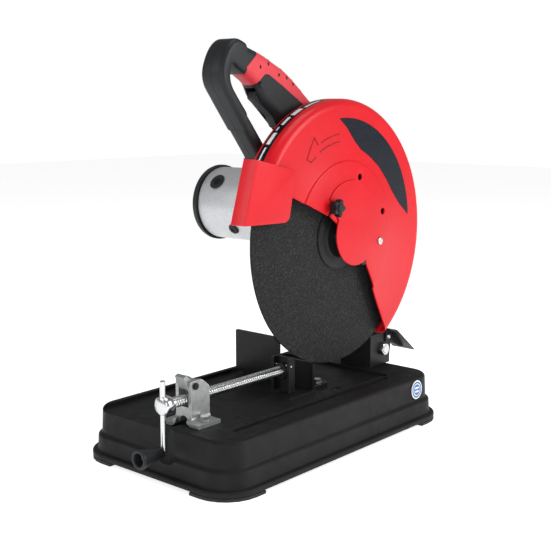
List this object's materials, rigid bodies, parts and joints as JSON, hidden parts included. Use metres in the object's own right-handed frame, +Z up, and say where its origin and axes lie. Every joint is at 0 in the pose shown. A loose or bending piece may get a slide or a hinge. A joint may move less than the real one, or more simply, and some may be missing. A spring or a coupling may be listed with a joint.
{
  "type": "abrasive chop saw",
  "caption": "Bench cut-off saw with a guarded abrasive disc on a sprung swinging head, D handle, screw vise and fence on a pressed steel base",
  "frame": {"origin": "middle of the bounding box in X and Y, at the bottom of the rubber feet", "axes": "+Z up, +X along the disc axis to the guarded side, +Y from the vise crank to the head hinge"},
  "size_m": [0.28, 0.543, 0.5461],
  "materials": {
    "black_paint": "textured satin",
    "rubber": "matte",
    "badge": "gloss",
    "bolt_steel": "zinc plated",
    "grey_cast": "zinc grey",
    "chrome": "polished",
    "black_plastic": "fine texture",
    "red_paint": "gloss",
    "red_grip": "satin",
    "motor_alloy": "satin silver",
    "machined_steel": "machined",
    "copper": "varnished windings",
    "abrasive": "coarse grit"
  },
  "bodies": {
    "base": {"base": "black_paint", "foot_front_left": "rubber", "foot_front_right": "rubber", "foot_rear_left": "rubber", "foot_rear_right": "rubber", "side_badge": "badge", "hinge_bracket": "black_paint", "pivot_bolt": "bolt_steel", "pivot_nut": "bolt_steel", "return_spring": "bolt_steel", "depth_stop": "bolt_steel", "rear_deflector": "black_paint", "deflector_rivet": "bolt_steel", "fence": "black_paint", "fence_bolt_left": "bolt_steel", "fence_bolt_right": "bolt_steel", "vise_bracket": "grey_cast", "vise_bolt_right": "bolt_steel", "vise_bolt_left": "bolt_steel", "half_nut_pin": "black_paint"},
    "half_nut": {"half_nut": "grey_cast"},
    "jaw": {"jaw": "black_paint", "jaw_pin": "bolt_steel"},
    "screw": {"vise_screw": "chrome", "crank_rod": "chrome"},
    "grip": {"crank_grip": "black_plastic"},
    "head": {"gear_housing": "black_paint", "guard": "red_paint", "cover_screw": "bolt_steel", "front_deflector": "red_paint", "deflector_screw": "bolt_steel", "motor_housing": "motor_alloy", "motor_cap": "black_plastic", "brush_cap_upper": "black_plastic", "brush_cap_lower": "black_plastic", "cord_gland": "rubber", "stator": "copper", "bearing_motor_rear": "machined_steel", "bearing_motor_front": "machined_steel", "bearing_spindle_inner": "machined_steel", "bearing_spindle_outer": "machined_steel", "handle_left": "black_plastic", "handle_right": "black_plastic", "grip_cover": "red_grip", "trigger_pin": "bolt_steel", "switch_body": "black_plastic"},
    "rotor": {"armature": "machined_steel", "fan": "black_plastic"},
    "spindle": {"spindle": "machined_steel", "spindle_gear": "machined_steel", "inner_flange": "machined_steel", "disc": "abrasive", "outer_flange": "black_paint", "spindle_bolt": "bolt_steel"},
    "cover": {"cover_plate": "red_paint"},
    "wing_knob": {"wing_knob": "black_plastic"},
    "trigger": {"trigger": "black_plastic"},
    "lock_off_button": {"lock_off_button": "black_plastic"},
    "lock_button": {"lock_button": "black_plastic"}
  },
  "joints": [
    {"name": "head_pivot", "type": "hinge", "parent": "base", "child": "head", "pos_m": [0.0125, 0.2115, 0.094], "axis": [1, 0, 0], "range_deg": [0, 15], "stiffness_Nm_per_rad": 14, "springref_deg": -126.05},
    {"name": "spindle_spin", "type": "hinge", "parent": "head", "child": "spindle", "pos_m": [0.03, 0.0685, 0.284], "axis": [1, 0, 0], "continuous": true},
    {"name": "rotor_spin", "type": "hinge", "parent": "head", "child": "rotor", "pos_m": [-0.05, 0.0355, 0.3226], "axis": [1, 0, 0], "continuous": true},
    {"name": "cover_swing", "type": "hinge", "parent": "head", "child": "cover", "pos_m": [0.0798, 0.1425, 0.272], "axis": [1, 0, 0], "range_deg": [0, 90]},
    {"name": "knob_turn", "type": "hinge", "parent": "cover", "child": "wing_knob", "pos_m": [0.088, 0.0335, 0.328], "axis": [1, 0, 0], "continuous": true},
    {"name": "trigger_pull", "type": "hinge", "parent": "head", "child": "trigger", "pos_m": [0.017, -0.0095, 0.441], "axis": [1, 0, 0], "range_deg": [-6, 0], "stiffness_Nm_per_rad": 1, "springref_deg": 17.19},
    {"name": "lock_off_press", "type": "slide", "parent": "head", "child": "lock_off_button", "axis": [-1, 0, 0], "range_m": [0, 0.003], "stiffness_N_per_m": 300, "springref_m": -0.003},
    {"name": "lock_button_press", "type": "slide", "parent": "head", "child": "lock_button", "axis": [0, 0, -1], "range_m": [0, 0.0025], "stiffness_N_per_m": 400, "springref_m": -0.003},
    {"name": "jaw_slide", "type": "slide", "parent": "base", "child": "jaw", "axis": [0, 1, 0], "range_m": [-0.1401, 0]},
    {"name": "screw_turn", "type": "hinge", "parent": "jaw", "child": "screw", "pos_m": [0.024, -0.0975, 0.1005], "axis": [0, 1, 0], "range_deg": [-12600, 0]},
    {"name": "grip_spin", "type": "hinge", "parent": "screw", "child": "grip", "pos_m": [0.024, -0.2525, 0.042], "axis": [0, 1, 0], "continuous": true},
    {"name": "half_nut_lift", "type": "hinge", "parent": "base", "child": "half_nut", "pos_m": [0.024, -0.1875, 0.119], "axis": [1, 0, 0], "range_deg": [0, 60]}
  ],
  "couplings": [
    {"joint": "rotor_spin", "follows": "spindle_spin", "ratio": -3.25},
    {"joint": "jaw_slide", "follows": "screw_turn", "m_per_rad": 0.00063662}
  ]
}
